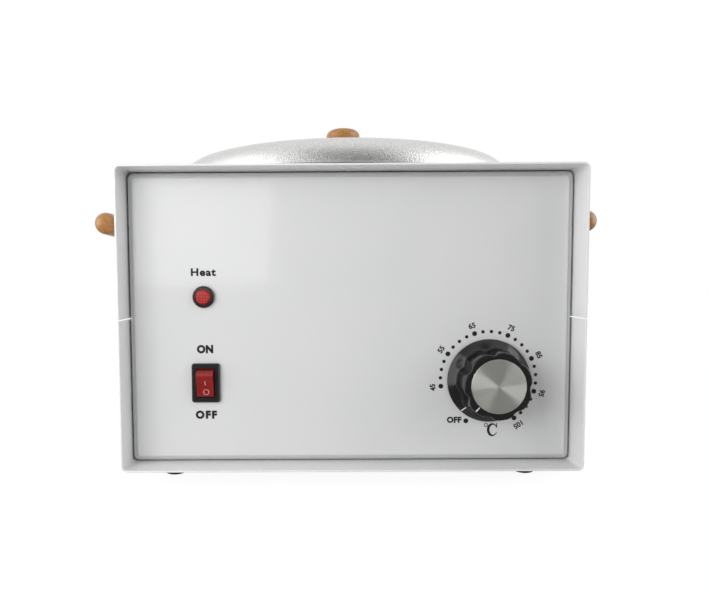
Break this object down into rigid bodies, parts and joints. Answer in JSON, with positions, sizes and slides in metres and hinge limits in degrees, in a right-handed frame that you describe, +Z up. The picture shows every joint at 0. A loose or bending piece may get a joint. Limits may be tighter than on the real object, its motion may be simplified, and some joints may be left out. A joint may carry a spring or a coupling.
{
  "type": "paraffin bath",
  "caption": "Square white steel paraffin bath with a lift-out aluminium pot, domed lid with wood knob, wood side grips, fluted temperature dial, rocker switch and lamp in a recessed panel.",
  "frame": {"origin": "centre of the bounding box at the undersides of the feet", "axes": "+X to the viewer's right, -Y towards the viewer and the control panel, +Z up"},
  "size_m": [0.3234, 0.246, 0.2147],
  "materials": {
    "white_powder_coat": "semi-gloss powder coat",
    "white_film": "gloss film",
    "spun_aluminium": "spun satin",
    "turned_aluminium": "turned",
    "zinc_steel": "zinc plated",
    "mica_band_steel": "rolled",
    "glass_fibre": "woven",
    "varnished_beech": "varnished",
    "black_bakelite": "moulded gloss",
    "black_nylon": "moulded",
    "cream_nylon": "moulded",
    "red_plastic": "moulded gloss",
    "black_rubber": "moulded",
    "copper": "drawn",
    "brown_lead": "extruded",
    "blue_lead": "extruded",
    "green_lead": "extruded"
  },
  "bodies": {
    "casing": {"band_screw": "zinc_steel", "bulb_clip": "zinc_steel", "capillary_bulb": "copper", "capillary_tube": "copper", "foot_front_left": "black_rubber", "foot_front_right": "black_rubber", "foot_rear_left": "black_rubber", "foot_rear_right": "black_rubber", "front_panel": "white_powder_coat", "handle_grip_left": "varnished_beech", "handle_grip_right": "varnished_beech", "handle_nut_front_left": "zinc_steel", "handle_nut_front_right": "zinc_steel", "handle_nut_rear_left": "zinc_steel", "handle_nut_rear_right": "zinc_steel", "handle_post_front_left": "zinc_steel", "handle_post_front_right": "zinc_steel", "handle_post_rear_left": "zinc_steel", "handle_post_rear_right": "zinc_steel", "heater_band": "mica_band_steel", "heating_well": "spun_aluminium", "inlet_screw_left": "zinc_steel", "inlet_screw_right": "zinc_steel", "inlet_socket": "black_nylon", "insulation_jacket": "glass_fibre", "lamp_body": "black_nylon", "lamp_lens": "red_plastic", "lead_earth": "green_lead", "lead_heater": "brown_lead", "lead_lamp": "brown_lead", "lead_neutral": "blue_lead", "lead_return": "blue_lead", "lead_supply": "brown_lead", "lead_switched": "brown_lead", "lower_shell": "white_powder_coat", "panel_overlay": "white_film", "rear_panel": "white_powder_coat", "side_screw_lower_front_left": "zinc_steel", "side_screw_lower_front_right": "zinc_steel", "side_screw_lower_rear_left": "zinc_steel", "side_screw_lower_rear_right": "zinc_steel", "side_screw_upper_front_left": "zinc_steel", "side_screw_upper_front_right": "zinc_steel", "side_screw_upper_rear_left": "zinc_steel", "side_screw_upper_rear_right": "zinc_steel", "switch_body": "black_nylon", "terminal_block": "cream_nylon", "thermostat_body": "cream_nylon", "thermostat_screw_left": "zinc_steel", "thermostat_screw_right": "zinc_steel", "upper_shell": "white_powder_coat", "well_nut": "zinc_steel"},
    "pot": {"wax_pot": "spun_aluminium"},
    "lid": {"lid": "spun_aluminium", "lid_knob": "varnished_beech", "lid_screw": "zinc_steel"},
    "dial": {"dial_knob": "black_bakelite", "dial_cap": "turned_aluminium", "thermostat_spindle": "zinc_steel"},
    "rocker": {"switch_rocker": "red_plastic"}
  },
  "joints": [
    {"name": "pot_lift", "type": "slide", "parent": "casing", "child": "pot", "axis": [0, 0, 1], "range_m": [0, 0.12]},
    {"name": "lid_lift", "type": "slide", "parent": "pot", "child": "lid", "axis": [0, 0, 1], "range_m": [0, 0.08]},
    {"name": "dial_turn", "type": "hinge", "parent": "casing", "child": "dial", "pos_m": [0.0738, -0.102, 0.0552], "axis": [0, 1, 0], "range_deg": [-13.3, 282.7]},
    {"name": "rocker_tilt", "type": "hinge", "parent": "casing", "child": "rocker", "pos_m": [-0.0777, -0.1028, 0.0545], "axis": [-1, 0, 0], "range_deg": [0, 30]}
  ]
}
